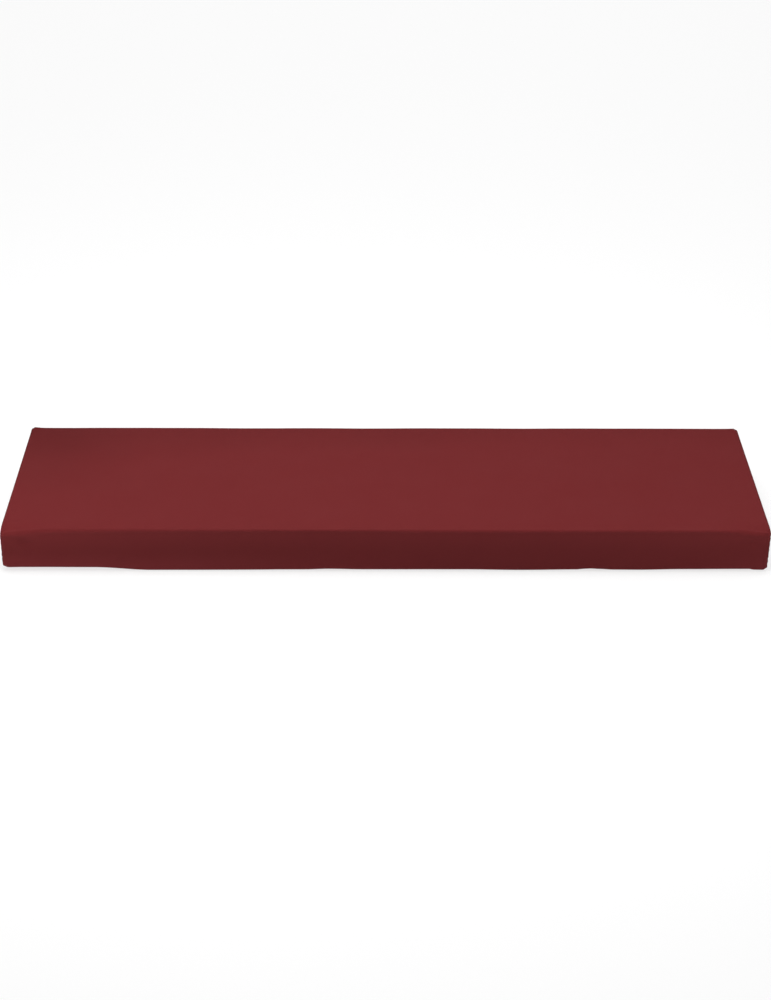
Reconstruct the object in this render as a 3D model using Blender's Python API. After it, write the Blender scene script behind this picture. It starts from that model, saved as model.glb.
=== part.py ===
"""A fitted dust cover for a stage piano.

One piece of stretch cloth lies over the instrument's top, falls down its four sides and turns in
under it as an elastic hem. The cover has the shape that it takes when worn, hollow and open below.
Metres, +Z up, the front towards -Y, and the origin under the middle of the box that it fills.
"""

import math
from typing import NamedTuple

import bmesh
import bpy

# Driving dimensions of the cover as worn
LENGTH = 1.124
DEPTH = 0.334
FRONT_HEIGHT = 0.0665
TOP_SLOPE = math.radians(3.0)

# The cloth and its hem
CLOTH_THICKNESS = 0.0020
HEM_THICKNESS = 0.0030
HEM_RADIUS = 0.0060
HEM_WIDTH = 0.0170
HEM_RISE = 0.0015
HEM_DIP = 0.0009

# Corners seen from above, each radius at one level of the cloth
RIM_CORNER_RADIUS = 0.0075
WALL_CORNER_RADIUS = 0.0065
HEM_CORNER_RADIUS = 0.0075
MOUTH_CORNER_RADIUS = 0.0300

# The front and the back belly out between the edges
FACE_BULGE = 0.0010
BULGE_FADE = 0.0800

# How finely the cloth is divided
CORNER_HALF_STEPS = 3
LONG_SIDE_STEPS = 36
SHORT_SIDE_STEPS = 12
END_CLUSTERING = 0.65
EDGE_STEPS = 4
WALL_STEPS = 8
WALL_CLUSTERING = 1.5
HEM_TURN_STEPS = 4
HEM_STEPS = 2

QUARTER_TURN = math.pi / 2
OUTLINE_LENGTH = 2 * (LENGTH + DEPTH)
RIGHT_FRONT = LENGTH
RIGHT_BACK = LENGTH + DEPTH
LEFT_BACK = 2 * LENGTH + DEPTH


class Corner(NamedTuple):
    """A corner seen from above: its side of each axis, and where its outward direction starts."""

    sign_x: int
    sign_y: int
    first_angle: float
    around: float


CORNERS = (
    Corner(-1, -1, 2 * QUARTER_TURN, 0.0),
    Corner(1, -1, 3 * QUARTER_TURN, RIGHT_FRONT),
    Corner(1, 1, 0.0, RIGHT_BACK),
    Corner(-1, 1, QUARTER_TURN, LEFT_BACK),
)


class Level(NamedTuple):
    """A value at a place round the outline, counted anticlockwise from the front left corner."""

    around: float
    value: float


# The rounding of the top edge, which is wider beside both front corners
EDGE_RADII = (
    Level(0.0, 0.0060),
    Level(0.030, 0.0075),
    Level(0.120, 0.0054),
    Level(0.270, 0.0040),
    Level(0.430, 0.0032),
    Level(0.540, 0.0036),
    Level(0.640, 0.0046),
    Level(0.740, 0.0044),
    Level(0.850, 0.0036),
    Level(RIGHT_FRONT - 0.080, 0.0036),
    Level(RIGHT_FRONT - 0.030, 0.0065),
    Level(RIGHT_FRONT, 0.0050),
    Level(RIGHT_FRONT + 0.024, 0.0060),
    Level(LEFT_BACK, 0.0050),
    Level(OUTLINE_LENGTH - 0.024, 0.0060),
    Level(OUTLINE_LENGTH, 0.0060),
)

# How far the walls draw in towards the hem, less where the front left corner hangs straight
DRAW_INS = (
    Level(0.0, 0.0002),
    Level(0.080, 0.0010),
    Level(OUTLINE_LENGTH - 0.080, 0.0010),
    Level(OUTLINE_LENGTH, 0.0002),
)

# How far the hem is hiked up above its common line, or hangs below it
HEM_LIFTS = (
    Level(0.0, 0.0040),
    Level(0.130, 0.0035),
    Level(0.215, -0.0009),
    Level(0.290, -0.0008),
    Level(0.440, 0.0001),
    Level(0.478, 0.0010),
    Level(0.530, 0.0003),
    Level(0.670, 0.0004),
    Level(0.765, -0.0005),
    Level(0.840, 0.0006),
    Level(0.864, 0.0015),
    Level(0.900, 0.0001),
    Level(0.935, -0.0001),
    Level(1.000, 0.0010),
    Level(1.085, 0.0014),
    Level(RIGHT_FRONT, 0.0001),
    Level(RIGHT_FRONT + 0.090, 0.0010),
    Level(RIGHT_BACK - 0.070, 0.0004),
    Level(RIGHT_BACK, -0.0004),
    Level(RIGHT_BACK + 0.160, 0.0011),
    Level(RIGHT_BACK + 0.420, -0.0005),
    Level(RIGHT_BACK + 0.700, 0.0008),
    Level(RIGHT_BACK + 0.950, -0.0003),
    Level(LEFT_BACK, 0.0006),
    Level(LEFT_BACK + 0.150, 0.0014),
    Level(OUTLINE_LENGTH, 0.0040),
)

# How far the front edge of the top is raised, which fades towards the back
FRONT_LIFTS = (
    Level(0.0, 0.0),
    Level(0.240, 0.0010),
    Level(0.460, 0.0011),
    Level(0.720, 0.0),
    Level(RIGHT_FRONT, 0.0),
)
FRONT_LIFT_REACH = 0.0900


class CornerDroop(NamedTuple):
    """How far the top sinks at a corner, or rises where negative, and how far in that reaches."""

    corner: Corner
    depth: float
    reach_x: float
    reach_y: float


CORNER_DROOPS = (
    CornerDroop(CORNERS[0], 0.0064, 0.074, 0.030),
    CornerDroop(CORNERS[1], 0.0044, 0.050, 0.028),
    CornerDroop(CORNERS[1], 0.0010, 0.110, 0.030),
    CornerDroop(CORNERS[2], -0.0006, 0.022, 0.022),
    CornerDroop(CORNERS[3], -0.0018, 0.024, 0.022),
)


class Crease(NamedTuple):
    """A soft trough that the pull of a corner leaves in a wall, or a ridge where it is negative.

    Its places are counted round the outline, and its drops down from the top edge.
    """

    start_around: float
    start_drop: float
    end_around: float
    end_drop: float
    depth: float
    width: float


CREASES = (
    Crease(0.002, 0.004, 0.070, 0.012, -0.0009, 0.0055),
    Crease(0.006, 0.009, 0.060, 0.026, 0.0015, 0.0080),
    Crease(0.006, 0.022, 0.032, 0.044, 0.0007, 0.0080),
    Crease(RIGHT_FRONT - 0.002, 0.005, RIGHT_FRONT - 0.056, 0.009, -0.0013, 0.0060),
    Crease(RIGHT_FRONT - 0.004, 0.010, RIGHT_FRONT - 0.044, 0.022, 0.0010, 0.0080),
    Crease(RIGHT_FRONT + 0.004, 0.007, RIGHT_FRONT + 0.042, 0.022, 0.0012, 0.0080),
    Crease(RIGHT_BACK - 0.004, 0.006, RIGHT_BACK - 0.038, 0.026, 0.0008, 0.0090),
    Crease(RIGHT_BACK + 0.005, 0.008, RIGHT_BACK + 0.045, 0.027, 0.0010, 0.0090),
    Crease(LEFT_BACK - 0.005, 0.006, LEFT_BACK - 0.050, 0.030, 0.0012, 0.0090),
    Crease(LEFT_BACK + 0.004, 0.007, LEFT_BACK + 0.036, 0.028, 0.0010, 0.0090),
    Crease(OUTLINE_LENGTH - 0.004, 0.006, OUTLINE_LENGTH - 0.046, 0.024, 0.0014, 0.0080),
)

CLOTH_COLOUR = (0.181, 0.026, 0.029, 1.0)
CLOTH_ROUGHNESS = 0.85
CLOTH_SHEEN = 0.15


class Station(NamedTuple):
    """One place on every ring: on a corner's quarter arc, or on the straight run after it."""

    corner: int
    turn: float
    run: float
    around: float


def mix(first, second, share):
    return first + (second - first) * share


def fading(share):
    """1 at 0 and 0 from 1 on, level at both ends."""
    share = min(abs(share), 1.0)
    return (1 - share) ** 2 * (1 + 2 * share)


def value_at(table, around):
    """The table's value at a place round the outline, easing from each row to the next."""
    for before, after in zip(table, table[1:]):
        if around <= after.around:
            share = (around - before.around) / (after.around - before.around)
            return mix(after.value, before.value, fading(share))
    return table[-1].value


def clear_scene():
    for obj in list(bpy.data.objects):
        bpy.data.objects.remove(obj, do_unlink=True)


def run_shares(steps):
    """Shares along a straight run, closer together near its ends, where the creases are."""
    shares = []
    for step in range(steps):
        even = step / steps
        clustered = (1 - math.cos(math.pi * even)) / 2
        shares.append(mix(even, clustered, END_CLUSTERING))
    return shares


def stations():
    """The places of a ring, anticlockwise from the middle of the front left corner."""
    places = []
    for index, corner in enumerate(CORNERS):
        steps = SHORT_SIDE_STEPS if index % 2 else LONG_SIDE_STEPS
        side = DEPTH if index % 2 else LENGTH
        following = (index + 1) % len(CORNERS)
        for step in range(CORNER_HALF_STEPS):
            half = step / CORNER_HALF_STEPS / 2
            around = corner.around + 2 * half * WALL_CORNER_RADIUS
            places.append(Station(index, 0.5 + half, 0.0, around))
        for share in run_shares(steps):
            straight = side - 2 * WALL_CORNER_RADIUS
            around = corner.around + WALL_CORNER_RADIUS + share * straight
            places.append(Station(index, 1.0, share, around))
        for step in range(CORNER_HALF_STEPS):
            half = step / CORNER_HALF_STEPS / 2
            around = corner.around + side - (1 - 2 * half) * WALL_CORNER_RADIUS
            places.append(Station(following, half, 0.0, around))
    return places


def arc_point(corner, turn, inset, radius):
    centre_x = LENGTH / 2 - inset - radius
    centre_y = DEPTH / 2 - FACE_BULGE - inset - radius
    angle = corner.first_angle + turn * QUARTER_TURN
    x = corner.sign_x * centre_x + radius * math.cos(angle)
    y = corner.sign_y * centre_y + radius * math.sin(angle)
    return x, y


def outline_point(station, inset, radius):
    """A point of the outline seen from above, drawn in by an inset, with its own corner radius."""
    here = arc_point(CORNERS[station.corner], station.turn, inset, radius)
    if station.run == 0.0:
        return here
    following = CORNERS[(station.corner + 1) % len(CORNERS)]
    there = arc_point(following, 0.0, inset, radius)
    return mix(here[0], there[0], station.run), mix(here[1], there[1], station.run)


def top_height(x, y):
    """The top slopes up to the back, and sinks or rises at its corners and front edge."""
    height = HEM_DIP + FRONT_HEIGHT + (y + DEPTH / 2) * math.tan(TOP_SLOPE)
    for droop in CORNER_DROOPS:
        from_corner_x = (x - droop.corner.sign_x * LENGTH / 2) / droop.reach_x
        from_corner_y = (y - droop.corner.sign_y * DEPTH / 2) / droop.reach_y
        height -= droop.depth * fading(from_corner_x) * fading(from_corner_y)
    from_front = (y + DEPTH / 2) / FRONT_LIFT_REACH
    height += value_at(FRONT_LIFTS, x + LENGTH / 2) * fading(from_front)
    return height


def crease_depth(around, drop):
    """How far the creases draw the cloth in at a place of a wall."""
    depth = 0.0
    for crease in CREASES:
        along = crease.end_around - crease.start_around
        down = crease.end_drop - crease.start_drop
        length = math.hypot(along, down)
        from_start = (around - crease.start_around, drop - crease.start_drop)
        share = (from_start[0] * along + from_start[1] * down) / length**2
        aside = (from_start[1] * along - from_start[0] * down) / length
        depth += crease.depth * fading(2 * share - 1) * fading(aside / crease.width)
    return depth


def bulge(station):
    """How far the front or the back bellies out at a place, none at the corners and short sides."""
    if station.run == 0.0 or station.corner % 2:
        return 0.0
    from_end = min(station.run, 1 - station.run) * LENGTH
    return FACE_BULGE * (1 - fading(from_end / BULGE_FADE))


def wall_section(station):
    """The cloth at one place from the rim of the top down to the hem: x, y and z of each point."""
    edge = value_at(EDGE_RADII, station.around)
    hem = HEM_DIP + value_at(HEM_LIFTS, station.around)
    draw_in = value_at(DRAW_INS, station.around)
    edge_x, edge_y = outline_point(station, edge, RIM_CORNER_RADIUS)
    top = top_height(edge_x, edge_y)
    levels = []
    for step in range(EDGE_STEPS + 1):
        angle = QUARTER_TURN * step / EDGE_STEPS
        drop = edge * (1 - math.cos(angle))
        inset = edge * (1 - math.sin(angle)) + crease_depth(station.around, drop) * math.sin(angle)
        radius = mix(RIM_CORNER_RADIUS, WALL_CORNER_RADIUS, step / EDGE_STEPS)
        levels.append((inset, top - drop, radius))
    wall_top = top - edge
    wall_foot = hem + HEM_RADIUS
    for step in range(1, WALL_STEPS + 1):
        share = (step / WALL_STEPS) ** WALL_CLUSTERING
        height = mix(wall_top, wall_foot, share)
        belly = bulge(station) * 4 * share * (1 - share)
        inset = draw_in * share - belly + crease_depth(station.around, top - height)
        levels.append((inset, height, mix(WALL_CORNER_RADIUS, HEM_CORNER_RADIUS, share / 2)))
    for step in range(1, HEM_TURN_STEPS + 1):
        angle = QUARTER_TURN * step / HEM_TURN_STEPS
        inset = draw_in + HEM_RADIUS * (1 - math.cos(angle))
        height = hem + HEM_RADIUS * (1 - math.sin(angle))
        radius = mix(WALL_CORNER_RADIUS, HEM_CORNER_RADIUS, (1 + step / HEM_TURN_STEPS) / 2)
        levels.append((inset, height, radius))
    for step in range(1, HEM_STEPS + 1):
        share = step / HEM_STEPS
        inset = draw_in + HEM_RADIUS + HEM_WIDTH * share
        radius = mix(HEM_CORNER_RADIUS, MOUTH_CORNER_RADIUS, share)
        levels.append((inset, hem + HEM_RISE * share**2, radius))
    return [(*outline_point(station, inset, radius), height) for inset, height, radius in levels]


def add_top(skin, rim):
    """The top, a grid stretched between the four stretches of the rim."""
    columns = LONG_SIDE_STEPS + 2 * CORNER_HALF_STEPS
    rows = SHORT_SIDE_STEPS + 2 * CORNER_HALF_STEPS
    grid = {}
    for column in range(columns + 1):
        grid[column, 0] = rim[column]
        grid[column, rows] = rim[2 * columns + rows - column]
    for row in range(rows + 1):
        grid[columns, row] = rim[columns + row]
        grid[0, row] = rim[-row]
    west, east = grid[0, rows // 2].co.x, grid[columns, rows // 2].co.x
    south, north = grid[columns // 2, 0].co.y, grid[columns // 2, rows].co.y
    for column in range(1, columns):
        for row in range(1, rows):
            share_x = (grid[column, 0].co.x - west) / (east - west)
            share_y = (grid[0, row].co.y - south) / (north - south)
            x = mix(grid[column, 0].co.x, grid[column, rows].co.x, share_y)
            x += mix(grid[0, row].co.x - west, grid[columns, row].co.x - east, share_x)
            y = mix(grid[0, row].co.y, grid[columns, row].co.y, share_x)
            y += mix(grid[column, 0].co.y - south, grid[column, rows].co.y - north, share_y)
            grid[column, row] = skin.verts.new((x, y, top_height(x, y)))
    for column in range(columns):
        for row in range(rows):
            ends = ((column, row), (column + 1, row), (column + 1, row + 1), (column, row + 1))
            skin.faces.new([grid[end] for end in ends])


def cover_skin():
    """The outer face of the cloth, as a mesh that is open at the mouth, and its hem's vertices."""
    skin = bmesh.new()
    sections = [[skin.verts.new(point) for point in wall_section(place)] for place in stations()]
    for here, there in zip(sections, sections[1:] + sections[:1]):
        for level in range(len(here) - 1):
            skin.faces.new((here[level], here[level + 1], there[level + 1], there[level]))
    add_top(skin, [section[0] for section in sections])
    skin.verts.index_update()
    mouth = [section[-1].index for section in sections]
    mesh = bpy.data.meshes.new("cover")
    skin.to_mesh(mesh)
    skin.free()
    mesh.shade_smooth()
    return mesh, mouth


def cloth_material():
    material = bpy.data.materials.new("cover_cloth")
    material.use_nodes = True
    shader = material.node_tree.nodes["Principled BSDF"]
    shader.inputs["Base Color"].default_value = CLOTH_COLOUR
    shader.inputs["Roughness"].default_value = CLOTH_ROUGHNESS
    shader.inputs["Metallic"].default_value = 0.0
    shader.inputs["Sheen Weight"].default_value = CLOTH_SHEEN
    return material


def add_cover():
    """The skin thickened inwards to the cloth, and a little more at the elastic hem."""
    mesh, mouth = cover_skin()
    cover = bpy.data.objects.new("cover", mesh)
    bpy.context.scene.collection.objects.link(cover)
    thickness = cover.vertex_groups.new(name="thickness")
    thickness.add(range(len(mesh.vertices)), CLOTH_THICKNESS / HEM_THICKNESS, "REPLACE")
    thickness.add(mouth, 1.0, "REPLACE")
    solid = cover.modifiers.new("cloth", "SOLIDIFY")
    solid.thickness = HEM_THICKNESS
    solid.offset = -1.0
    solid.use_even_offset = True
    solid.use_rim = True
    solid.vertex_group = thickness.name
    mesh.materials.append(cloth_material())
    return cover


def main():
    clear_scene()
    add_cover()


main()
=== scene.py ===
"""The looks of a fitted dust cover for a stage piano: deep red stretch knit, drawn tight.

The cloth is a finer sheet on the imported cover's form, with its corner seams and their puckers, the
gathers of its elastic hem, and the stitching. Metres, +Z up, the front towards -Y.
"""

import math
from typing import NamedTuple

import bmesh
import bpy
from mathutils import Matrix, Vector, noise


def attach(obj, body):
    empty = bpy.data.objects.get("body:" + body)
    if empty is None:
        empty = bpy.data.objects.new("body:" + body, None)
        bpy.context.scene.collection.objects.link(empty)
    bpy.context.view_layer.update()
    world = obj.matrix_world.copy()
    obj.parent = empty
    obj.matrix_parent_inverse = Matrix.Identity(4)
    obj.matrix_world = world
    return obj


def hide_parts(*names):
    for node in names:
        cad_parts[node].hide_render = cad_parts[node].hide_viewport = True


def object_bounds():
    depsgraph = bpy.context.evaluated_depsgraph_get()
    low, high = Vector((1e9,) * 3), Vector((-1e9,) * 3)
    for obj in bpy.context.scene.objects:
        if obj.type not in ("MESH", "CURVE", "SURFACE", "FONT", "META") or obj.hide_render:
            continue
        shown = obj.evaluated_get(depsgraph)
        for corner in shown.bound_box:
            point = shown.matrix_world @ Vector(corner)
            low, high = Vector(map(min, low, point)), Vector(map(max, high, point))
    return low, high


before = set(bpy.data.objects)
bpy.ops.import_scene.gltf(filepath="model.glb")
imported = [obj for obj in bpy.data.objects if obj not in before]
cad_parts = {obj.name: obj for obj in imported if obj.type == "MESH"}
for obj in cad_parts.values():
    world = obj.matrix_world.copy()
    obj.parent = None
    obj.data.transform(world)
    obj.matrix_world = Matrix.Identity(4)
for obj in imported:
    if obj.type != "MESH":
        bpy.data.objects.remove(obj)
CAD_LOW, CAD_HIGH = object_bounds()

# Sizes of the cover, its length taken from the frame
LENGTH = CAD_HIGH.x - CAD_LOW.x
DEPTH = 0.334
FRONT_HEIGHT = 0.0665
TOP_SLOPE = math.radians(3.0)
FACE_BULGE = 0.0010
BULGE_FADE = 0.0800
HEM_DIP = 0.0009
HEM_RADIUS = 0.0060
HEM_WIDTH = 0.0170
HEM_RISE = 0.0015
HEM_RISE_POWER = 1.5
CLOTH_THICKNESS = 0.0012
HEM_THICKNESS = 0.0026

# Corners seen from above
RIM_CORNER_RADIUS = 0.0075
WALL_CORNER_RADIUS = 0.0065
HEM_CORNER_RADIUS = 0.0075
MOUTH_CORNER_RADIUS = 0.0300

# How finely the sheet is divided
CORNER_HALF_STEPS = 7
LONG_SIDE_STEPS = 236
SHORT_SIDE_STEPS = 64
END_CLUSTERING = 0.40
EDGE_STEPS = 8
WALL_STEPS = 16
WALL_CLUSTERING = 1.3
HEM_TURN_STEPS = 7
HEM_STEPS = 8
TOP_COLUMNS = LONG_SIDE_STEPS + 2 * CORNER_HALF_STEPS
TOP_ROWS = SHORT_SIDE_STEPS + 2 * CORNER_HALF_STEPS

QUARTER_TURN = math.pi / 2
FULL_TURN = 2 * math.pi
DIAGONAL = math.sqrt(2)
SEAM_TURN = 0.5
SAME_PLACE = 1e-9
OUTLINE_LENGTH = 2 * (LENGTH + DEPTH)
RIGHT_FRONT = LENGTH
RIGHT_BACK = LENGTH + DEPTH
LEFT_BACK = 2 * LENGTH + DEPTH


class Corner(NamedTuple):
    """A corner seen from above.

    It has its side of each axis, the angle at which its arc starts, and its place in the outline.
    """

    sign_x: int
    sign_y: int
    first_angle: float
    around: float


CORNERS = (
    Corner(-1, -1, 2 * QUARTER_TURN, 0.0),
    Corner(1, -1, 3 * QUARTER_TURN, RIGHT_FRONT),
    Corner(1, 1, 0.0, RIGHT_BACK),
    Corner(-1, 1, QUARTER_TURN, LEFT_BACK),
)


class Level(NamedTuple):
    """A value at a place round the outline, counted anticlockwise from the front left corner."""

    around: float
    value: float


# The rounding of the top edge, which is wider beside both front corners
EDGE_RADII = (
    Level(0.0, 0.0060),
    Level(0.030, 0.0075),
    Level(0.120, 0.0054),
    Level(0.270, 0.0040),
    Level(0.430, 0.0032),
    Level(0.540, 0.0036),
    Level(0.640, 0.0046),
    Level(0.740, 0.0044),
    Level(0.850, 0.0036),
    Level(RIGHT_FRONT - 0.080, 0.0036),
    Level(RIGHT_FRONT - 0.030, 0.0065),
    Level(RIGHT_FRONT, 0.0050),
    Level(RIGHT_FRONT + 0.024, 0.0060),
    Level(LEFT_BACK, 0.0050),
    Level(OUTLINE_LENGTH - 0.024, 0.0060),
    Level(OUTLINE_LENGTH, 0.0060),
)

# How far the walls draw in towards the hem, less where the front left corner hangs straight
DRAW_INS = (
    Level(0.0, 0.0002),
    Level(0.080, 0.0010),
    Level(OUTLINE_LENGTH - 0.080, 0.0010),
    Level(OUTLINE_LENGTH, 0.0002),
)

# How far the hem is hiked up above its common line, or hangs below it
HEM_LIFTS = (
    Level(0.0, 0.0040),
    Level(0.130, 0.0035),
    Level(0.215, -0.0009),
    Level(0.290, -0.0008),
    Level(0.440, 0.0001),
    Level(0.478, 0.0010),
    Level(0.530, 0.0003),
    Level(0.670, 0.0004),
    Level(0.765, -0.0005),
    Level(0.845, 0.0004),
    Level(0.856, 0.0014),
    Level(0.866, 0.0019),
    Level(0.880, 0.0012),
    Level(0.900, 0.0001),
    Level(0.935, -0.0001),
    Level(1.000, 0.0010),
    Level(1.085, 0.0014),
    Level(RIGHT_FRONT - 0.021, 0.0014),
    Level(RIGHT_FRONT - 0.016, 0.0001),
    Level(RIGHT_FRONT, 0.0001),
    Level(RIGHT_FRONT + 0.090, 0.0010),
    Level(RIGHT_BACK - 0.070, 0.0004),
    Level(RIGHT_BACK, -0.0004),
    Level(RIGHT_BACK + 0.160, 0.0011),
    Level(RIGHT_BACK + 0.420, -0.0005),
    Level(RIGHT_BACK + 0.700, 0.0008),
    Level(RIGHT_BACK + 0.950, -0.0003),
    Level(LEFT_BACK, 0.0006),
    Level(LEFT_BACK + 0.150, 0.0014),
    Level(OUTLINE_LENGTH, 0.0040),
)

# How far the front edge of the top is raised, which fades towards the back
FRONT_LIFTS = (
    Level(0.0, 0.0),
    Level(0.240, 0.0010),
    Level(0.460, 0.0011),
    Level(0.720, 0.0),
    Level(RIGHT_FRONT, 0.0),
)
FRONT_LIFT_REACH = 0.0900


class CornerDroop(NamedTuple):
    """How far the top sinks at a corner, or rises where negative, and how far in that reaches."""

    corner: Corner
    depth: float
    reach_x: float
    reach_y: float


CORNER_DROOPS = (
    CornerDroop(CORNERS[0], 0.0064, 0.074, 0.030),
    CornerDroop(CORNERS[1], 0.0044, 0.050, 0.028),
    CornerDroop(CORNERS[1], 0.0010, 0.110, 0.030),
    CornerDroop(CORNERS[2], -0.0006, 0.022, 0.022),
    CornerDroop(CORNERS[3], -0.0018, 0.024, 0.022),
)


class Crease(NamedTuple):
    """A soft trough in a wall, or a ridge where its depth is negative.

    Its places are counted round the outline, and its drops down from the top edge.
    """

    start_around: float
    start_drop: float
    end_around: float
    end_drop: float
    depth: float
    width: float


CREASES = (
    Crease(0.002, 0.004, 0.070, 0.012, -0.0009, 0.0055),
    Crease(0.006, 0.009, 0.060, 0.026, 0.0015, 0.0080),
    Crease(0.006, 0.022, 0.032, 0.044, 0.0007, 0.0080),
    Crease(RIGHT_FRONT - 0.002, 0.005, RIGHT_FRONT - 0.056, 0.009, -0.0013, 0.0060),
    Crease(RIGHT_FRONT - 0.004, 0.010, RIGHT_FRONT - 0.044, 0.022, 0.0010, 0.0080),
    Crease(RIGHT_FRONT + 0.004, 0.007, RIGHT_FRONT + 0.042, 0.022, 0.0012, 0.0080),
    Crease(RIGHT_BACK - 0.004, 0.006, RIGHT_BACK - 0.038, 0.026, 0.0008, 0.0090),
    Crease(RIGHT_BACK + 0.005, 0.008, RIGHT_BACK + 0.045, 0.027, 0.0010, 0.0090),
    Crease(LEFT_BACK - 0.005, 0.006, LEFT_BACK - 0.050, 0.030, 0.0012, 0.0090),
    Crease(LEFT_BACK + 0.004, 0.007, LEFT_BACK + 0.036, 0.028, 0.0010, 0.0090),
    Crease(OUTLINE_LENGTH - 0.004, 0.006, OUTLINE_LENGTH - 0.046, 0.024, 0.0014, 0.0080),
    Crease(0.008, 0.010, 0.050, 0.026, 0.0006, 0.0060),
    Crease(0.180, 0.030, 0.232, 0.058, -0.0005, 0.0140),
    Crease(0.452, 0.060, 0.500, 0.034, 0.0005, 0.0120),
    Crease(0.852, 0.062, 0.872, 0.036, 0.0005, 0.0090),
    Crease(0.960, 0.034, 1.050, 0.056, -0.0004, 0.0160),
    Crease(RIGHT_FRONT + 0.120, 0.070, RIGHT_FRONT + 0.210, 0.040, 0.0006, 0.0160),
    Crease(RIGHT_BACK + 0.140, 0.076, RIGHT_BACK + 0.250, 0.036, 0.0006, 0.0170),
    Crease(RIGHT_BACK + 0.640, 0.040, RIGHT_BACK + 0.760, 0.074, 0.0006, 0.0170),
    Crease(LEFT_BACK + 0.110, 0.068, LEFT_BACK + 0.220, 0.042, 0.0006, 0.0160),
)


class Swell(NamedTuple):
    """A soft rise of the top about a place, or a dip where it is negative."""

    x: float
    y: float
    reach_x: float
    reach_y: float
    rise: float


# The top is taut, with faint dips along its back edge, and two rises and a dip further forward
SWELLS = (
    Swell(-0.500, 0.140, 0.070, 0.060, -0.0006),
    Swell(-0.205, 0.160, 0.120, 0.040, -0.0006),
    Swell(-0.030, 0.165, 0.100, 0.040, -0.0005),
    Swell(0.210, 0.165, 0.060, 0.030, -0.0004),
    Swell(0.520, 0.120, 0.080, 0.080, -0.0005),
    Swell(-0.120, 0.020, 0.260, 0.120, 0.0004),
    Swell(-0.420, -0.110, 0.240, 0.070, 0.0004),
    Swell(0.330, -0.080, 0.260, 0.080, -0.0003),
)

# The corner seams: a fine groove between two low lips, and the puckers that its thread pulls
SEAM_DEPTH = 0.0006
SEAM_HALF_WIDTH = 0.0009
LIP_RISE = 0.0003
LIP_PLACE = 0.0024
LIP_HALF_WIDTH = 0.0014
SEAM_END_ON_TOP = 0.0320
PUCKER_RISE = 0.00035
PUCKER_PITCH = 0.0092
PUCKER_REACH = 0.0130
PUCKER_END = 5 * PUCKER_REACH
PUCKER_ROOT_WIDTH = 0.0015
PUCKER_CORNER_PHASE = 0.37
PUCKER_SIDE_PHASE = 0.5
PUCKER_UNEVEN_PITCH = 0.02
PUCKER_CORNER_OFFSET = 3.0

# The gathers of the elastic hem, seen from below
GATHER_RISE = 0.0014
GATHER_SWAY = 0.0012
GATHER_PITCH = 0.0240
GATHER_WANDER = 0.9
GATHER_WANDER_PITCH = 0.0900
GATHER_LEAST_SIZE = 0.55
GATHER_MIDDLE_SIZE_SHARE = 0.5
GATHER_SIZE_OFFSET = Vector((0.0, 7.0, 0.0))

# The faint unevenness of taut cloth
UNEVEN_RISE = 0.00012
UNEVEN_PITCH = 0.0550


class Station(NamedTuple):
    """One place on every ring: on a corner's quarter arc, or on the straight run after it."""

    corner: int
    turn: float
    run: float
    around: float


def mix(first, second, share):
    return first + (second - first) * share


def fading(share):
    """1 at 0 and 0 from 1 on, level at both ends."""
    share = min(abs(share), 1.0)
    return (1 - share) ** 2 * (1 + 2 * share)


def arch(share):
    """0 at both ends of a run and 1 in its middle."""
    return 4 * share * (1 - share)


def value_at(table, around):
    """The table's value at a place round the outline, easing from each row to the next."""
    for before, after in zip(table, table[1:]):
        if around <= after.around:
            share = (around - before.around) / (after.around - before.around)
            return mix(after.value, before.value, fading(share))
    return table[-1].value


def run_shares(steps):
    """Shares along a straight run, closer together near its ends, where the creases are."""
    shares = []
    for step in range(steps):
        even = step / steps
        clustered = (1 - math.cos(math.pi * even)) / 2
        shares.append(mix(even, clustered, END_CLUSTERING))
    return shares


def stations():
    """The places of a ring, anticlockwise from the seam of the front left corner."""
    places = []
    for index, corner in enumerate(CORNERS):
        steps = SHORT_SIDE_STEPS if index % 2 else LONG_SIDE_STEPS
        side = DEPTH if index % 2 else LENGTH
        following = (index + 1) % len(CORNERS)
        for step in range(CORNER_HALF_STEPS):
            part = step / CORNER_HALF_STEPS
            around = corner.around + part * WALL_CORNER_RADIUS
            places.append(Station(index, SEAM_TURN + part * SEAM_TURN, 0.0, around))
        for share in run_shares(steps):
            straight = side - 2 * WALL_CORNER_RADIUS
            around = corner.around + WALL_CORNER_RADIUS + share * straight
            places.append(Station(index, 1.0, share, around))
        for step in range(CORNER_HALF_STEPS):
            part = step / CORNER_HALF_STEPS
            around = corner.around + side - (1 - part) * WALL_CORNER_RADIUS
            places.append(Station(following, part * SEAM_TURN, 0.0, around))
    return places


def arc_point(corner, turn, inset, radius):
    centre_x = LENGTH / 2 - inset - radius
    centre_y = DEPTH / 2 - FACE_BULGE - inset - radius
    angle = corner.first_angle + turn * QUARTER_TURN
    x = corner.sign_x * centre_x + radius * math.cos(angle)
    y = corner.sign_y * centre_y + radius * math.sin(angle)
    return x, y


def outline_point(station, inset, radius):
    """A point of the outline seen from above, drawn in by an inset, with its own corner radius."""
    here = arc_point(CORNERS[station.corner], station.turn, inset, radius)
    if station.run == 0.0:
        return here
    following = CORNERS[(station.corner + 1) % len(CORNERS)]
    there = arc_point(following, 0.0, inset, radius)
    return mix(here[0], there[0], station.run), mix(here[1], there[1], station.run)


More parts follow.
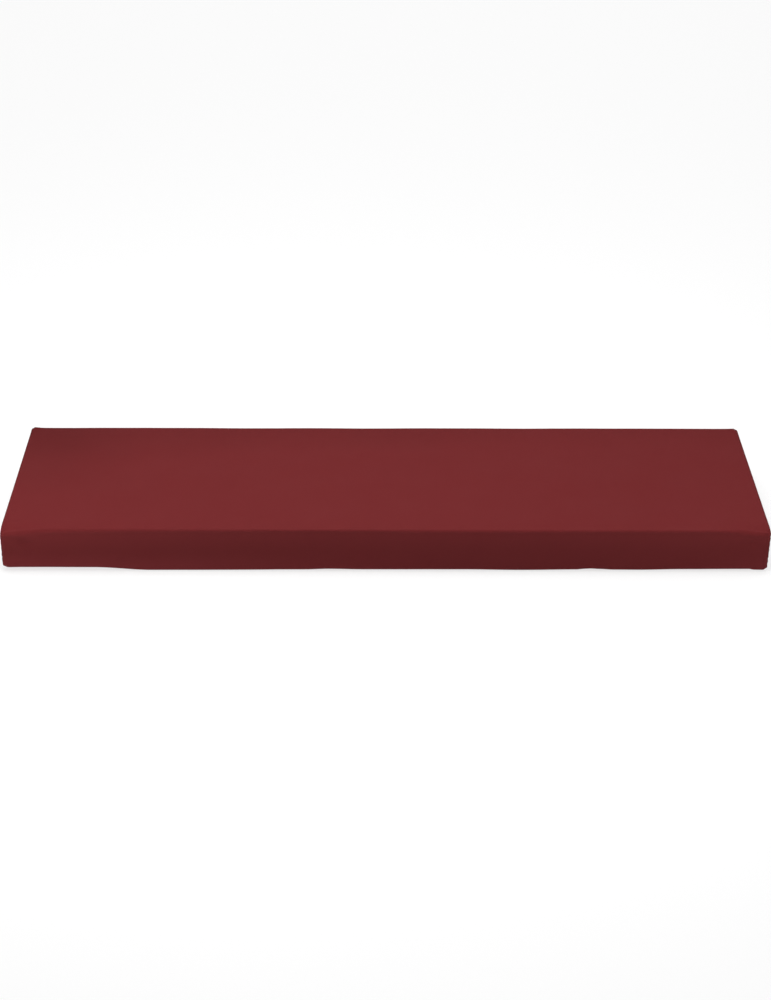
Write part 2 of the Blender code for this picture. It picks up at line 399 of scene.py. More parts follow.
def top_height(x, y):
    """The top slopes up to the back, sinks or rises at its corners, and swells a little."""
    height = HEM_DIP + FRONT_HEIGHT + (y + DEPTH / 2) * math.tan(TOP_SLOPE)
    for droop in CORNER_DROOPS:
        from_corner_x = (x - droop.corner.sign_x * LENGTH / 2) / droop.reach_x
        from_corner_y = (y - droop.corner.sign_y * DEPTH / 2) / droop.reach_y
        height -= droop.depth * fading(from_corner_x) * fading(from_corner_y)
    from_front = (y + DEPTH / 2) / FRONT_LIFT_REACH
    height += value_at(FRONT_LIFTS, x + LENGTH / 2) * fading(from_front)
    for swell in SWELLS:
        aside = fading((x - swell.x) / swell.reach_x) * fading((y - swell.y) / swell.reach_y)
        height += swell.rise * aside
    return height


def crease_depth(around, drop):
    """How far the creases draw the cloth in at a place of a wall."""
    depth = 0.0
    for crease in CREASES:
        along = crease.end_around - crease.start_around
        passed = around - crease.start_around
        if abs(passed) > abs(along) + crease.width:
            continue
        down = crease.end_drop - crease.start_drop
        fallen = drop - crease.start_drop
        length = math.hypot(along, down)
        share = (passed * along + fallen * down) / length**2
        aside = (fallen * along - passed * down) / length
        depth += crease.depth * fading(2 * share - 1) * fading(aside / crease.width)
    return depth


def bulge(station):
    """How far the front or the back bellies out at a place, none at the corners and short sides."""
    if station.run == 0.0 or station.corner % 2:
        return 0.0
    from_end = min(station.run, 1 - station.run) * LENGTH
    return FACE_BULGE * (1 - fading(from_end / BULGE_FADE))


def gather(around):
    """The height of the hem's gathers round the mouth, from -1 to 1, uneven in pitch and size."""
    place = Vector((around / GATHER_WANDER_PITCH, 0.0, 0.0))
    wander = GATHER_WANDER * noise.noise(place)
    size_share = GATHER_MIDDLE_SIZE_SHARE + noise.noise(place + GATHER_SIZE_OFFSET)
    size = mix(GATHER_LEAST_SIZE, 1.0, size_share)
    return size * math.sin(FULL_TURN * (around / GATHER_PITCH + wander))


def wall_section(station):
    """The cloth at one place from the rim of the top down to the mouth: x, y and z of each point."""
    edge = value_at(EDGE_RADII, station.around)
    hem = HEM_DIP + value_at(HEM_LIFTS, station.around)
    draw_in = value_at(DRAW_INS, station.around)
    edge_x, edge_y = outline_point(station, edge, RIM_CORNER_RADIUS)
    top = top_height(edge_x, edge_y)
    levels = []
    for step in range(EDGE_STEPS + 1):
        angle = QUARTER_TURN * step / EDGE_STEPS
        drop = edge * (1 - math.cos(angle))
        inset = edge * (1 - math.sin(angle)) + crease_depth(station.around, drop) * math.sin(angle)
        radius = mix(RIM_CORNER_RADIUS, WALL_CORNER_RADIUS, step / EDGE_STEPS)
        levels.append((inset, top - drop, radius))
    wall_top = top - edge
    wall_foot = hem + HEM_RADIUS
    for step in range(1, WALL_STEPS + 1):
        share = (step / WALL_STEPS) ** WALL_CLUSTERING
        height = mix(wall_top, wall_foot, share)
        belly = bulge(station) * arch(share)
        inset = draw_in * share - belly + crease_depth(station.around, top - height)
        levels.append((inset, height, mix(WALL_CORNER_RADIUS, HEM_CORNER_RADIUS, share / 2)))
    for step in range(1, HEM_TURN_STEPS + 1):
        angle = QUARTER_TURN * step / HEM_TURN_STEPS
        inset = draw_in + HEM_RADIUS * (1 - math.cos(angle))
        height = hem + HEM_RADIUS * (1 - math.sin(angle))
        radius = mix(WALL_CORNER_RADIUS, HEM_CORNER_RADIUS, (1 + step / HEM_TURN_STEPS) / 2)
        levels.append((inset, height, radius))
    gathered = gather(station.around)
    for step in range(1, HEM_STEPS + 1):
        share = step / HEM_STEPS
        inset = draw_in + HEM_RADIUS + (HEM_WIDTH + GATHER_SWAY * gathered * share) * share
        height = hem + (HEM_RISE + GATHER_RISE * gathered) * share**HEM_RISE_POWER
        levels.append((inset, height, mix(HEM_CORNER_RADIUS, MOUTH_CORNER_RADIUS, share)))
    return [Vector((*outline_point(station, inset, radius), z)) for inset, z, radius in levels]


def from_nearest_corner(around):
    """The signed distance round the outline to the nearest corner, and that corner's index."""
    gaps = []
    for index, corner in enumerate(CORNERS):
        gap = (around - corner.around + OUTLINE_LENGTH / 2) % OUTLINE_LENGTH - OUTLINE_LENGTH / 2
        gaps.append((abs(gap), gap, index))
    return min(gaps)[1:]


def seam_relief(aside):
    """The groove of a seam and its two lips, across the seam."""
    groove = -SEAM_DEPTH * math.exp(-((aside / SEAM_HALF_WIDTH) ** 2))
    lips = LIP_RISE * math.exp(-(((abs(aside) - LIP_PLACE) / LIP_HALF_WIDTH) ** 2))
    return groove + lips


def wall_relief(around, fall):
    """How far the seams and their puckers raise a wall's cloth at a distance down from the rim."""
    aside, index = from_nearest_corner(around)
    if abs(aside) > PUCKER_END:
        return 0.0
    side_phase = PUCKER_SIDE_PHASE if aside < 0 else 0.0
    phase = PUCKER_CORNER_PHASE * index + side_phase
    along_seam = fall / PUCKER_UNEVEN_PITCH
    place = Vector((along_seam, index * PUCKER_CORNER_OFFSET, math.copysign(1.0, aside)))
    uneven = 1 + noise.noise(place)
    pucker = math.sin(FULL_TURN * (fall / PUCKER_PITCH + phase)) * uneven
    off_seam = 1 - math.exp(-((aside / PUCKER_ROOT_WIDTH) ** 2))
    near = math.exp(-abs(aside) / PUCKER_REACH) * off_seam
    return seam_relief(aside) + PUCKER_RISE * pucker * near


def top_relief(x, y):
    """How far the seams' ends raise the top's cloth near its corners."""
    relief = 0.0
    for corner in CORNERS:
        along_x = LENGTH / 2 - corner.sign_x * x
        along_y = DEPTH / 2 - FACE_BULGE - corner.sign_y * y
        inward = (along_x + along_y) / DIAGONAL
        aside = (along_x - along_y) / DIAGONAL
        relief += seam_relief(aside) * fading(inward / SEAM_END_ON_TOP)
    return relief


FLAT_LAYER = "flat_cut"


class Sheet(NamedTuple):
    """The cloth's mesh under way, with what the looks need to know of its points."""

    mesh: bmesh.types.BMesh
    places: list
    sections: list
    grid: dict
    falls: list


def grid_of(mesh, rim):
    """The top as a grid stretched between the four stretches of the rim: (column, row) to vertex."""
    columns, rows = TOP_COLUMNS, TOP_ROWS
    grid = {}
    for column in range(columns + 1):
        grid[column, 0] = rim[column]
        grid[column, rows] = rim[2 * columns + rows - column]
    for row in range(rows + 1):
        grid[columns, row] = rim[columns + row]
        grid[0, row] = rim[-row]
    west, east = grid[0, rows // 2].co.x, grid[columns, rows // 2].co.x
    south, north = grid[columns // 2, 0].co.y, grid[columns // 2, rows].co.y
    for column in range(1, columns):
        for row in range(1, rows):
            share_x = (grid[column, 0].co.x - west) / (east - west)
            share_y = (grid[0, row].co.y - south) / (north - south)
            x = mix(grid[column, 0].co.x, grid[column, rows].co.x, share_y)
            x += mix(grid[0, row].co.x - west, grid[columns, row].co.x - east, share_x)
            y = mix(grid[0, row].co.y, grid[columns, row].co.y, share_x)
            y += mix(grid[column, 0].co.y - south, grid[column, rows].co.y - north, share_y)
            grid[column, row] = mesh.verts.new((x, y, top_height(x, y)))
    return grid


def falls_of(section):
    """How far each point of a section lies down the cloth from the rim."""
    falls = [0.0]
    for above, below in zip(section, section[1:]):
        falls.append(falls[-1] + (below - above).length)
    return falls


# The direction in which the front, right, back and left walls fold out on the flat cut
FOLDS_OUT = ((0, -1), (1, 0), (0, 1), (-1, 0))


def side_of(around):
    """The number of the side on which a place of the outline lies, from 0 for the front."""
    starts = enumerate(corner.around for corner in CORNERS)
    return max(side for side, start in starts if start <= around + SAME_PLACE)


def flat_place(side, rim_point, fall):
    """Where a point lies on the flat cut, which has the four walls folded out from the top."""
    across, along = FOLDS_OUT[side]
    return rim_point.x + across * fall, rim_point.y + along * fall


def add_wall_faces(sheet, flat_layer):
    count = len(sheet.places)
    for index in range(count):
        following = (index + 1) % count
        side = side_of(sheet.places[index].around)
        here, there = sheet.sections[index], sheet.sections[following]
        for level in range(len(here) - 1):
            ends = (
                (index, level),
                (index, level + 1),
                (following, level + 1),
                (following, level),
            )
            face = sheet.mesh.faces.new([sheet.sections[at][down] for at, down in ends])
            for loop, (at, down) in zip(face.loops, ends):
                rim_point = sheet.sections[at][0].co
                loop[flat_layer].uv = flat_place(side, rim_point, sheet.falls[at][down])


def add_top_faces(sheet, flat_layer):
    for column in range(TOP_COLUMNS):
        for row in range(TOP_ROWS):
            ends = ((column, row), (column + 1, row), (column + 1, row + 1), (column, row + 1))
            face = sheet.mesh.faces.new([sheet.grid[end] for end in ends])
            for loop in face.loops:
                loop[flat_layer].uv = loop.vert.co.xy


def build_sheet():
    mesh = bmesh.new()
    flat_layer = mesh.loops.layers.uv.new(FLAT_LAYER)
    places = stations()
    points = [wall_section(place) for place in places]
    sections = [[mesh.verts.new(point) for point in section] for section in points]
    grid = grid_of(mesh, [section[0] for section in sections])
    sheet = Sheet(mesh, places, sections, grid, [falls_of(section) for section in points])
    add_wall_faces(sheet, flat_layer)
    add_top_faces(sheet, flat_layer)
    return sheet


def raise_relief(sheet):
    """Moves each point along its normal by the seams, puckers and unevenness, none below 0."""
    sheet.mesh.normal_update()
    shifts = []
    rim = set()
    for place, section, falls in zip(sheet.places, sheet.sections, sheet.falls):
        for vert, fall in zip(section, falls):
            shifts.append((vert, wall_relief(place.around, fall)))
        rim.add(section[0])
    for vert in sheet.grid.values():
        if vert not in rim:
            shifts.append((vert, top_relief(vert.co.x, vert.co.y)))
    for vert, shift in shifts:
        uneven = UNEVEN_RISE * noise.noise(vert.co / UNEVEN_PITCH)
        vert.co += vert.normal * (shift + uneven)
        vert.co.z = max(vert.co.z, 0.0)
    sheet.mesh.normal_update()


class Thread(NamedTuple):
    """Sewing thread and how it is stitched."""

    pitch: float
    stitch: float
    radius: float
    rise: float


HEM_THREAD = Thread(pitch=0.0032, stitch=0.0026, radius=0.00022, rise=0.00010)
SEAM_THREAD = Thread(pitch=0.0028, stitch=0.0017, radius=0.00017, rise=-0.00004)
STITCH_SIDES = 5


class StitchSection(NamedTuple):
    """A ring of a stitch: its place in the stitch's length, and its width and height in radii."""

    place: float
    width: float
    height: float


STITCH_SECTIONS = (
    StitchSection(-0.5, 0.35, -1.4),
    StitchSection(-0.24, 1.0, 0.4),
    StitchSection(0.24, 1.0, 0.4),
    StitchSection(0.5, 0.35, -1.4),
)


def join_rings(mesh, rings):
    """Joins rings of equal count into a tube with closed ends."""
    for here, there in zip(rings, rings[1:]):
        for side in range(len(here)):
            after = (side + 1) % len(here)
            mesh.faces.new((here[side], here[after], there[after], there[side]))
    mesh.faces.new(list(reversed(rings[0])))
    mesh.faces.new(rings[-1])


def add_stitch(mesh, thread, middle, along, normal):
    """One stitch: a short thread that dives into the cloth at both ends."""
    across = normal.cross(along).normalized()
    rings = []
    for section in STITCH_SECTIONS:
        centre = middle + along * (section.place * thread.stitch)
        centre += normal * (thread.rise + section.height * thread.radius)
        ring = []
        for side in range(STITCH_SIDES):
            angle = FULL_TURN * side / STITCH_SIDES
            reach = across * math.cos(angle) + normal * math.sin(angle)
            ring.append(mesh.verts.new(centre + reach * (section.width * thread.radius)))
        rings.append(ring)
    join_rings(mesh, rings)


def stitch_along(mesh, thread, path, turned=0.0):
    """Stitches along a path of (point, normal) pairs, each turned in the cloth's plane."""
    travelled, due = 0.0, thread.pitch / 2
    for (start, start_normal), (end, end_normal) in zip(path, path[1:]):
        length = (end - start).length
        while length > 0 and due <= travelled + length:
            share = (due - travelled) / length
            normal = start_normal.lerp(end_normal, share).normalized()
            along = (end - start).normalized()
            along = (along - normal * along.dot(normal)).normalized()
            along = Matrix.Rotation(turned, 3, normal) @ along
            add_stitch(mesh, thread, start.lerp(end, share), along, normal)
            due += thread.pitch
        travelled += length


def path_of(verts):
    return [(vert.co.copy(), vert.normal.copy()) for vert in verts]


def object_from(name, mesh, material):
    data = bpy.data.meshes.new(name)
    mesh.normal_update()
    mesh.to_mesh(data)
    mesh.free()
    data.shade_smooth()
    data.materials.append(material)
    obj = bpy.data.objects.new(name, data)
    bpy.context.scene.collection.objects.link(obj)
    return obj


HEM_STITCH_LEVELS = (3, 5)


def add_hem_stitches(sheet, material):
    """The twin rows that hold the turned hem and its elastic, round the whole underside."""
    mesh = bmesh.new()
    first_level = EDGE_STEPS + WALL_STEPS + HEM_TURN_STEPS
    for level in HEM_STITCH_LEVELS:
        ring = [section[first_level + level] for section in sheet.sections]
        stitch_along(mesh, HEM_THREAD, path_of(ring + ring[:1]))
    return object_from("hem_stitches", mesh, material)


def seam_columns(sheet):
    """Each corner's number with the sheet's vertices along its seam, from the rim down."""
    columns = []
    for place, section in zip(sheet.places, sheet.sections):
        if place.turn == SEAM_TURN and place.run == 0.0:
            columns.append((place.corner, section))
    return columns


SEAM_STITCH_FIRST_LEVEL = 2
SEAM_STITCH_SLANT = 0.8 * QUARTER_TURN


def add_seam_stitches(sheet, material):
    """The thread that shows in the groove of each corner seam, from the top edge to the hem."""
    mesh = bmesh.new()
    for _, column in seam_columns(sheet):
        path = path_of(column[SEAM_STITCH_FIRST_LEVEL:])
        stitch_along(mesh, SEAM_THREAD, path, turned=SEAM_STITCH_SLANT)
    return object_from("seam_stitches", mesh, material)


ALLOWANCE_WIDTH = 0.0075
ALLOWANCE_THICKNESS = 0.0016
ALLOWANCE_GAP = 0.0011
ALLOWANCE_WAVE = 0.0007
ALLOWANCE_WAVE_TURN = 0.9
ALLOWANCE_HEM_LEVELS = 2
ALLOWANCE_LAST_LEVEL = EDGE_STEPS + WALL_STEPS + ALLOWANCE_HEM_LEVELS


def add_seam_allowances(sheet, material):
    """The two edges of each corner seam, sewn together, standing inwards from the corner."""
    mesh = bmesh.new()
    for number, column in seam_columns(sheet):
        corner = CORNERS[number]
        inward = Vector((-corner.sign_x, -corner.sign_y, 0.0)).normalized()
        across = inward.cross(Vector((0.0, 0.0, 1.0)))
        rings = []
        for down, vert in enumerate(column[EDGE_STEPS : ALLOWANCE_LAST_LEVEL + 1]):
            root = vert.co + inward * (CLOTH_THICKNESS + ALLOWANCE_GAP)
            sway = across * (ALLOWANCE_WAVE * math.sin(down * ALLOWANCE_WAVE_TURN + number))
            tip = root + inward * ALLOWANCE_WIDTH + sway
            half = across * (ALLOWANCE_THICKNESS / 2)
            corners = (root - half, root + half, tip + half, tip - half)
            rings.append([mesh.verts.new(point) for point in corners])
        join_rings(mesh, rings)
    bmesh.ops.recalc_face_normals(mesh, faces=mesh.faces)
    return object_from("seam_allowances", mesh, material)


def add_cloth(sheet, material):
    """The sheet thickened inwards, and more where the hem is doubled over its elastic."""
    mouth_levels = [section[-HEM_STEPS:] for section in sheet.sections]
    sheet.mesh.verts.index_update()
    hem_indices = [vert.index for levels in mouth_levels for vert in levels]
    count = len(sheet.mesh.verts)
    cloth = object_from("cover_cloth", sheet.mesh, material)
    group = cloth.vertex_groups.new(name="thickness")
    group.add(range(count), CLOTH_THICKNESS / HEM_THICKNESS, "REPLACE")
    group.add(hem_indices, 1.0, "REPLACE")
    solid = cloth.modifiers.new("cloth", "SOLIDIFY")
    solid.thickness = HEM_THICKNESS
    solid.offset = -1.0
    solid.use_even_offset = True
    solid.vertex_group = group.name
    return cloth


class Clouds(NamedTuple):
    """Soft noise: how many clouds there are to a metre, and in how much detail."""

    scale: float
    detail: float


class Tree:
    """A material's nodes, made and linked with short calls."""

    def __init__(self, name):
        self.material = bpy.data.materials.new(name)
        self.material.use_nodes = True
        self.nodes = self.material.node_tree.nodes
        self.links = self.material.node_tree.links
        self.shader = self.nodes["Principled BSDF"]

    def place(self):
        """Where a point lies on its own object."""
        return self.nodes.new("ShaderNodeTexCoord").outputs["Object"]

    def split(self, vector):
        node = self.nodes.new("ShaderNodeSeparateXYZ")
        self.links.new(vector, node.inputs[0])
        return node.outputs

    def look(self, name, value):
        """Gives one of the shader's own sockets a value, or links a socket to it."""
        self.feed(self.shader.inputs[name], value)

    def feed(self, socket, value):
        if isinstance(value, bpy.types.NodeSocket):
            self.links.new(value, socket)
        else:
            socket.default_value = value

    def maths(self, operation, first, second=0.0):
        node = self.nodes.new("ShaderNodeMath")
        node.operation = operation
        self.feed(node.inputs[0], first)
        self.feed(node.inputs[1], second)
        return node.outputs[0]

    def soft_noise(self, place, clouds):
        node = self.nodes.new("ShaderNodeTexNoise")
        self.feed(node.inputs["Vector"], place)
        node.inputs["Scale"].default_value = clouds.scale
        node.inputs["Detail"].default_value = clouds.detail
        return node.outputs["Fac"]

    def ranged(self, value, low, high, to_low, to_high):
        node = self.nodes.new("ShaderNodeMapRange")
        self.feed(node.inputs["Value"], value)
        node.inputs["From Min"].default_value = low
        node.inputs["From Max"].default_value = high
        node.inputs["To Min"].default_value = to_low
        node.inputs["To Max"].default_value = to_high
        return node.outputs["Result"]

    def blended(self, share, first, second, blend_type="MIX"):
        node = self.nodes.new("ShaderNodeMix")
        node.data_type = "RGBA"
        node.blend_type = blend_type
        self.feed(node.inputs["Factor"], share)
        self.feed(node.inputs["A"], first)
        self.feed(node.inputs["B"], second)
        return node.outputs["Result"]

    def tinted(self, share, colour, tint):
        return self.blended(share, colour, tint, "MULTIPLY")

    def bumped(self, height, distance, strength, under=None):
        node = self.nodes.new("ShaderNodeBump")
        self.feed(node.inputs["Height"], height)
        node.inputs["Distance"].default_value = distance
        node.inputs["Strength"].default_value = strength
        if under is not None:
            self.feed(node.inputs["Normal"], under)
        return node.outputs["Normal"]


# The knit, and how deep its loops and fibres stand
KNIT_WALE = 0.00125
KNIT_COURSE = 0.00095
KNIT_SLANT = 0.55
WALE_MIDDLE = 0.5
LOOP_FOOT = 0.25
WALE_EDGE = 0.2
KNIT_BUMP = 0.00030
KNIT_BUMP_STRENGTH = 0.8
FIBRE_BUMP = 0.00008
FIBRE_BUMP_STRENGTH = 0.5

# The soft noise in the cloth, and the part of its range that counts
MOTTLE = Clouds(14.0, 3.0)
HEATHER = Clouds(900.0, 1.0)
WANDER = Clouds(6.0, 2.0)
FIBRES = Clouds(2600.0, 2.0)
CLOUD_RANGE = (0.30, 0.70)
CLOUD_MIDDLE = 0.5

# The cloth's colours: painted shade in the knit's gaps, in dark flecks, painted shade near the back
# edge, its own, and its palest
CLOTH_GAP_SHADE = (0.109, 0.0123, 0.0134, 1.0)
CLOTH_DARK = (0.143, 0.0167, 0.0181, 1.0)
CLOTH_BACK_SHADE = (0.109, 0.0127, 0.0138, 1.0)
CLOTH_MAIN = (0.173, 0.0209, 0.0229, 1.0)
CLOTH_LIGHT = (0.177, 0.0215, 0.0234, 1.0)
CLOTH_ROUGHNESS = (0.84, 0.76)
CLOTH_SPECULAR = 0.06
SHEEN_WEIGHT = 0.03
SHEEN_ROUGHNESS = 0.45
SHEEN_TINT = (0.75, 0.18, 0.19, 1.0)

# Where painted shade darkens the cloth towards the back edge
BACK_SHADE_RANGE = (0.080, 0.170)
BACK_SHADE_WANDER = 0.10
BACK_SHADE_SLANT = -0.06

# Painted light on the walls and on the hem, painted shade in the back left corner, and where each
# begins and ends
WALL_NORMAL_RANGE = (0.25, 0.75)
WALL_PAINTED_LIGHT_LOW = (1.0, 1.14, 1.13, 1.0)
WALL_PAINTED_LIGHT_HIGH = (1.09, 1.27, 1.26, 1.0)
WALL_PAINTED_LIGHT_DROPS = (0.013, 0.030)
HEM_PAINTED_LIGHT = (1.18, 1.24, 1.27, 1.0)
HEM_LIGHT_HEIGHTS = (0.008, 0.030)
HEM_LIGHT_LEFT = (-0.30, 0.06)
HEM_LIGHT_RIGHT = (0.46, 0.52)
HEM_LIGHT_RIGHT_SHARE = 0.45
BACK_LEFT_SHADE = (0.87, 0.87, 0.87, 1.0)
BACK_LEFT_ACROSS = (-0.50, -0.38)
BACK_LEFT_ALONG = (-0.06, 0.10)

# The thread and the overlocked edges
THREAD_COLOUR = (0.099, 0.0102, 0.0111, 1.0)
THREAD_ROUGHNESS = (0.5, 0.62)
THREAD_SPECULAR = 0.2
PLIES = Clouds(5200.0, 1.0)
PLY_BUMP = 0.00006
PLY_BUMP_STRENGTH = 0.5
WRAP_PITCH = 0.0016
WRAP_BUMP = 0.0004
WRAP_BUMP_STRENGTH = 0.7
ALLOWANCE_ROUGHNESS = 0.8


def knit_height(tree):
    """The rows of slanting loops of a jersey knit, from 0 to 1, laid out on the flat cut."""
    flat = tree.nodes.new("ShaderNodeUVMap")
    flat.uv_map = FLAT_LAYER
    place = tree.split(flat.outputs["UV"])
    wale = tree.maths("FRACT", tree.maths("DIVIDE", place["X"], KNIT_WALE))
    from_middle = tree.maths("ABSOLUTE", tree.maths("SUBTRACT", wale, WALE_MIDDLE))
    slanted = tree.maths("MULTIPLY", from_middle, 2 * KNIT_SLANT)
    course = tree.maths("DIVIDE", place["Y"], KNIT_COURSE)
    turn = tree.maths("MULTIPLY", tree.maths("ADD", course, slanted), FULL_TURN)
    loops = tree.ranged(tree.maths("SINE", turn), -1.0, 1.0, LOOP_FOOT, 1.0)
    across = tree.maths("SINE", tree.maths("MULTIPLY", from_middle, FULL_TURN))
    return tree.maths("MULTIPLY", loops, tree.ranged(across, 0.0, 1.0, WALE_EDGE, 1.0))


def upright(tree):
    """1 on the walls and 0 on the top."""
    geometry = tree.nodes.new("ShaderNodeNewGeometry")
    level = tree.maths("ABSOLUTE", tree.split(geometry.outputs["Normal"])["Z"])
    return tree.ranged(level, *WALL_NORMAL_RANGE, 1.0, 0.0)


def wall_painted_light(tree, place):
    """Painted light: the walls are a little greyer than the top, and paler just below it, where more
    light falls on them.
    """
    slope = math.tan(TOP_SLOPE)
    rise = tree.maths("MULTIPLY", place["Y"], slope)
    top = tree.maths("ADD", rise, HEM_DIP + FRONT_HEIGHT + DEPTH / 2 * slope)
    drop = tree.maths("SUBTRACT", top, place["Z"])
    near_top = tree.ranged(drop, *WALL_PAINTED_LIGHT_DROPS, 1.0, 0.0)
    return tree.blended(near_top, WALL_PAINTED_LIGHT_LOW, WALL_PAINTED_LIGHT_HIGH)


def hem_light_share(tree, place):
    """Painted light that makes the hem paler: 1 at the hem on the left, where it is pulled up, and
    some at the right end.
    """
    low = tree.ranged(place["Z"], *HEM_LIGHT_HEIGHTS, 1.0, 0.0)
    left = tree.ranged(place["X"], *HEM_LIGHT_LEFT, 1.0, 0.0)
    right = tree.ranged(place["X"], *HEM_LIGHT_RIGHT, 0.0, HEM_LIGHT_RIGHT_SHARE)
    return tree.maths("MULTIPLY", low, tree.maths("MAXIMUM", left, right))


def back_left_shade_share(tree, place):
    """Painted shade, 1 in the back left corner, fading forwards and to the right."""
    across = tree.ranged(place["X"], *BACK_LEFT_ACROSS, 1.0, 0.0)
    along = tree.ranged(place["Y"], *BACK_LEFT_ALONG, 0.0, 1.0)
    return tree.maths("MULTIPLY", across, along)


def back_shade_share(tree, place, split):
    """Where painted shade darkens the top: 0 on most of it, and 1 at its back edge, past a line that
    slants and wanders.
    """
    wander = tree.maths("SUBTRACT", tree.soft_noise(place, WANDER), CLOUD_MIDDLE)
    wander = tree.maths("MULTIPLY", wander, BACK_SHADE_WANDER)
    slant = tree.maths("MULTIPLY", split["X"], BACK_SHADE_SLANT)
    backwards = tree.maths("ADD", tree.maths("ADD", split["Y"], wander), slant)
    return tree.ranged(backwards, *BACK_SHADE_RANGE, 0.0, 1.0)


def cloth_material():
    """Matte stretch knit: loops and fibres in relief, with painted shade between them, softly
    mottled.
    """
    tree = Tree("cover_cloth")
    place = tree.place()
    split = tree.split(place)
    loops = knit_height(tree)
    mottle = tree.ranged(tree.soft_noise(place, MOTTLE), *CLOUD_RANGE, 0.0, 1.0)
    heather = tree.ranged(tree.soft_noise(place, HEATHER), *CLOUD_RANGE, 0.0, 1.0)
    backwards = back_shade_share(tree, place, split)
    warm = tree.blended(mottle, CLOTH_MAIN, CLOTH_LIGHT)
    # Painted shade towards the back edge of the top
    warm = tree.blended(backwards, warm, CLOTH_BACK_SHADE)
    deep = tree.blended(heather, CLOTH_DARK, warm)
    # Painted shade in the knit's gaps, darker where the loops are low
    colour = tree.blended(loops, CLOTH_GAP_SHADE, deep)
    # Painted light on the walls, greyer than the top and paler below its edge
    colour = tree.tinted(upright(tree), colour, wall_painted_light(tree, split))
    # Painted light at the hem, paler on the left and at the right end
    colour = tree.tinted(hem_light_share(tree, split), colour, HEM_PAINTED_LIGHT)
    # Painted shade in the back left corner
    colour = tree.tinted(back_left_shade_share(tree, split), colour, BACK_LEFT_SHADE)
    tree.look("Base Color", colour)
    tree.look("Roughness", tree.ranged(mottle, 0.0, 1.0, *CLOTH_ROUGHNESS))
    tree.look("Specular IOR Level", CLOTH_SPECULAR)
    tree.look("Sheen Weight", SHEEN_WEIGHT)
    tree.look("Sheen Roughness", SHEEN_ROUGHNESS)
    tree.look("Sheen Tint", SHEEN_TINT)
    fibres = tree.bumped(tree.soft_noise(place, FIBRES), FIBRE_BUMP, FIBRE_BUMP_STRENGTH)
    tree.look("Normal", tree.bumped(loops, KNIT_BUMP, KNIT_BUMP_STRENGTH, fibres))
    return tree.material


def thread_material():
    """Polyester thread: two twisted plies, a little glossier than the cloth."""
    tree = Tree("sewing_thread")
    plies = tree.soft_noise(tree.place(), PLIES)
    tree.look("Base Color", tree.blended(plies, THREAD_COLOUR, CLOTH_MAIN))
    tree.look("Roughness", tree.ranged(plies, 0.0, 1.0, *THREAD_ROUGHNESS))
    tree.look("Specular IOR Level", THREAD_SPECULAR)
    tree.look("Normal", tree.bumped(plies, PLY_BUMP, PLY_BUMP_STRENGTH))
    return tree.material


def allowance_material():
    """The cut edges of the seam inside, wrapped in overlocked thread, with painted shade between the
    wraps.
    """
    tree = Tree("overlocked_edge")
    height = tree.split(tree.place())["Z"]
    wraps = tree.maths("SINE", tree.maths("MULTIPLY", height, FULL_TURN / WRAP_PITCH))
    wraps = tree.ranged(wraps, -1.0, 1.0, 0.0, 1.0)
    # Painted shade in the troughs between the wraps
    tree.look("Base Color", tree.blended(wraps, CLOTH_DARK, CLOTH_MAIN))
    tree.look("Roughness", ALLOWANCE_ROUGHNESS)
    tree.look("Normal", tree.bumped(wraps, WRAP_BUMP, WRAP_BUMP_STRENGTH))
    return tree.material


STAGE_GLOW = (1.0, 1.0, 1.0, 1.0)
FLOOR_SIZE = 24.0
FLOOR_DROP = 0.0003
FLOOR_COLOUR = (0.25, 0.25, 0.25, 1.0)
FLOOR_ROUGHNESS = 0.9
FLOOR_GLOW_STRENGTH = 0.72


def stage_material(name, colour, roughness, glow_strength):
    """Matte and plain, with a glow of its own that keeps it pale."""
    tree = Tree(name)
    tree.look("Base Color", colour)
    tree.look("Roughness", roughness)
    tree.look("Specular IOR Level", 0.0)
    tree.look("Emission Color", STAGE_GLOW)
    tree.look("Emission Strength", glow_strength)
    return tree.material


def add_floor():
    mesh = bmesh.new()
    bmesh.ops.create_grid(mesh, x_segments=1, y_segments=1, size=FLOOR_SIZE / 2)
    material = stage_material(
        "pale_floor", FLOOR_COLOUR, FLOOR_ROUGHNESS, FLOOR_GLOW_STRENGTH
    )
    floor = object_from("floor", mesh, material)
    floor.location.z = -FLOOR_DROP


BACKDROP_RADIUS = 11.8
BACKDROP_HEIGHT = 9.0
BACKDROP_SIDES = 128
BACKDROP_DROP = 2 * FLOOR_DROP
BACKDROP_COLOUR = (0.0, 0.0, 0.0, 1.0)
BACKDROP_ROUGHNESS = 0.5
BACKDROP_GLOW_STRENGTH = 0.75


def add_backdrop():
    """A pale wall round the floor, seen in low views, which neither lights nor shades the cover."""
    mesh = bmesh.new()
    bmesh.ops.create_cone(
        mesh,
        segments=BACKDROP_SIDES,
        radius1=BACKDROP_RADIUS,
        radius2=BACKDROP_RADIUS,
        depth=BACKDROP_HEIGHT,
    )
    material = stage_material(
        "pale_backdrop", BACKDROP_COLOUR, BACKDROP_ROUGHNESS, BACKDROP_GLOW_STRENGTH
    )
    backdrop = object_from("backdrop", mesh, material)
    backdrop.location.z = BACKDROP_HEIGHT / 2 - BACKDROP_DROP
    backdrop.visible_diffuse = False
    backdrop.visible_glossy = False
    backdrop.visible_transmission = False
    backdrop.visible_shadow = False


class SoftBox(NamedTuple):
    """A rectangular studio light, aimed at a place."""

    name: str
    place: tuple
    aim: tuple
    width: float
    height: float
    watts: float


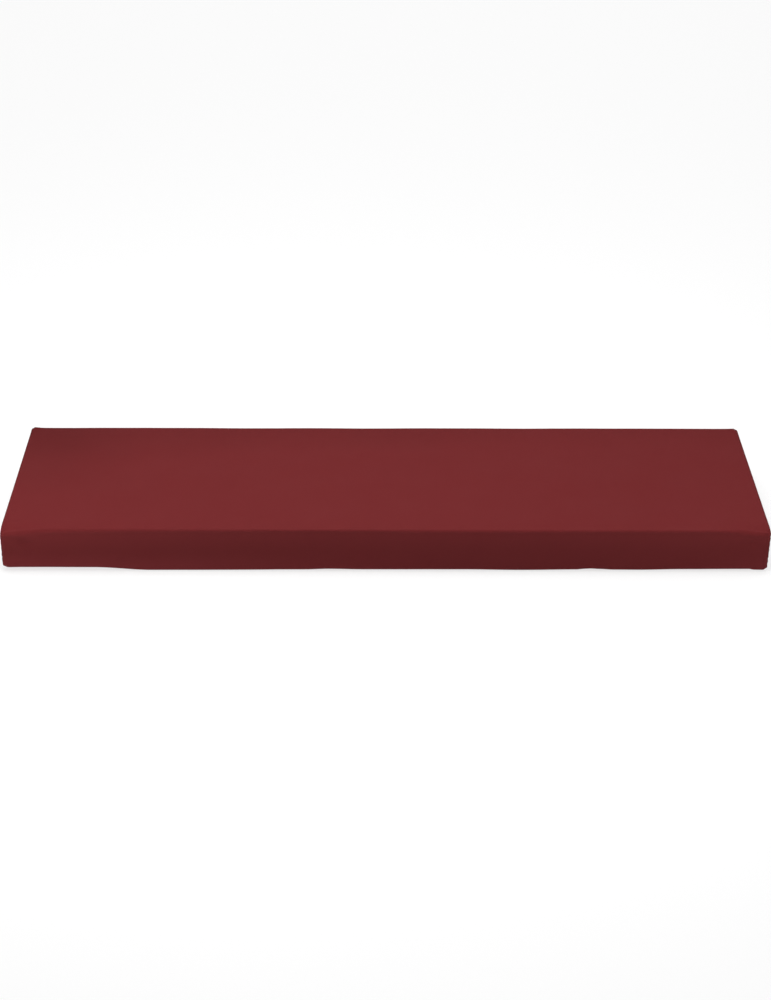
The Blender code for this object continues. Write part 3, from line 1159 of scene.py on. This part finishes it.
SOFT_BOXES = (
    SoftBox("overhead_light", (0.0, 4.0, 4.0), (0.0, 4.0, 0.0), 9.0, 8.0, 326.0),
    SoftBox("front_light", (-0.14, -0.33, 1.80), (-0.05, 0.0, 0.0), 1.2, 1.2, 31.0),
    SoftBox("low_left_light", (-0.85, -0.55, 0.30), (-0.53, -0.17, 0.04), 0.4, 0.3, 1.45),
    SoftBox("low_right_light", (0.82, -0.48, 0.30), (0.53, -0.17, 0.04), 0.3, 0.3, 0.65),
)
WORLD_COLOUR = (1.0, 1.0, 1.0, 1.0)
WORLD_STRENGTH = 0.10


def add_lights():
    for box in SOFT_BOXES:
        light = bpy.data.lights.new(box.name, "AREA")
        light.shape = "RECTANGLE"
        light.size, light.size_y = box.width, box.height
        light.energy = box.watts
        lamp = bpy.data.objects.new(box.name, light)
        lamp.location = box.place
        towards = Vector(box.aim) - Vector(box.place)
        lamp.rotation_euler = towards.to_track_quat("-Z", "Y").to_euler()
        lamp.visible_camera = False
        bpy.context.scene.collection.objects.link(lamp)
    world = bpy.data.worlds.new("studio")
    world.use_nodes = True
    background = world.node_tree.nodes["Background"]
    background.inputs["Color"].default_value = WORLD_COLOUR
    background.inputs["Strength"].default_value = WORLD_STRENGTH
    bpy.context.scene.world = world
    bpy.context.scene.view_settings.view_transform = "Standard"


# The camera, as fitted to the outline of the cover in the photograph
CAMERA_PLACE = (-0.0193, -2.8619, 1.4311)
CAMERA_PITCH = math.radians(25.983)
CAMERA_YAW = math.radians(-0.393)
CAMERA_ROLL = math.radians(-0.230)
FOCAL_LENGTH_PIXELS = 2078.9
IMAGE_LONG_SIDE_PIXELS = 1000
SENSOR_WIDTH_MM = 36.0


def add_camera():
    data = bpy.data.cameras.new("camera")
    data.sensor_width = SENSOR_WIDTH_MM
    data.lens = FOCAL_LENGTH_PIXELS / IMAGE_LONG_SIDE_PIXELS * SENSOR_WIDTH_MM
    camera = bpy.data.objects.new("camera", data)
    turned = Matrix.Rotation(CAMERA_YAW, 4, "Z")
    turned = turned @ Matrix.Rotation(QUARTER_TURN - CAMERA_PITCH, 4, "X")
    turned = turned @ Matrix.Rotation(-CAMERA_ROLL, 4, "Z")
    camera.matrix_world = Matrix.Translation(CAMERA_PLACE) @ turned
    bpy.context.scene.collection.objects.link(camera)
    bpy.context.scene.camera = camera


def main():
    add_camera()
    add_lights()
    add_floor()
    add_backdrop()
    cloth_look = cloth_material()
    thread_look = thread_material()
    sheet = build_sheet()
    raise_relief(sheet)
    trims = [
        add_hem_stitches(sheet, thread_look),
        add_seam_stitches(sheet, thread_look),
        add_seam_allowances(sheet, allowance_material()),
    ]
    cloth = add_cloth(sheet, cloth_look)
    for piece in [cloth, *trims]:
        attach(piece, "root")
    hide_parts("cover")


main()
